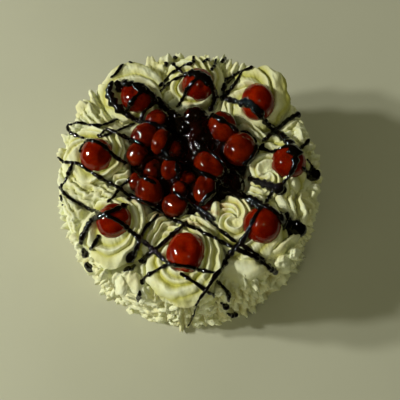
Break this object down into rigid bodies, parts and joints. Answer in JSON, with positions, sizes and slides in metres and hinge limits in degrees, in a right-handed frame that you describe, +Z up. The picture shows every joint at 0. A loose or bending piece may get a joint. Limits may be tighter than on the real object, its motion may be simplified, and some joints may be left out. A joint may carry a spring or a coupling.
{
  "type": "black forest cake",
  "caption": "Round cream-covered cherry cake with piped ruffles up its side, piped swirls topped with cherries, a cherry filling and a chocolate drizzle.",
  "frame": {"origin": "centre of the flat base, on the surface the cake stands on", "axes": "+Z up, -Y towards the side of the cake that faces the viewer, +X to the viewer's right"},
  "size_m": [0.1514, 0.1514, 0.0854],
  "materials": {
    "cream": "soft satin whipped cream",
    "cherry": "wet gloss",
    "syrup": "wet gloss",
    "sauce": "wet gloss"
  },
  "bodies": {
    "root": {"cherry_back": "cherry", "cherry_back_left": "cherry", "cherry_back_right": "cherry", "cherry_front": "cherry", "cherry_front_left": "cherry", "cherry_front_right": "cherry", "cherry_left": "cherry", "cherry_right": "cherry", "cream_coat": "cream", "mound_cherry_1": "cherry", "mound_cherry_10": "cherry", "mound_cherry_11": "cherry", "mound_cherry_12": "cherry", "mound_cherry_13": "cherry", "mound_cherry_14": "cherry", "mound_cherry_15": "cherry", "mound_cherry_16": "cherry", "mound_cherry_17": "cherry", "mound_cherry_18": "cherry", "mound_cherry_19": "cherry", "mound_cherry_2": "cherry", "mound_cherry_20": "cherry", "mound_cherry_3": "cherry", "mound_cherry_4": "cherry", "mound_cherry_5": "cherry", "mound_cherry_6": "cherry", "mound_cherry_7": "cherry", "mound_cherry_8": "cherry", "mound_cherry_9": "cherry", "swirl_back": "cream", "swirl_back_left": "cream", "swirl_back_right": "cream", "swirl_front": "cream", "swirl_front_left": "cream", "swirl_front_right": "cream", "swirl_left": "cream", "swirl_right": "cream", "syrup": "syrup"}
  },
  "joints": []
}
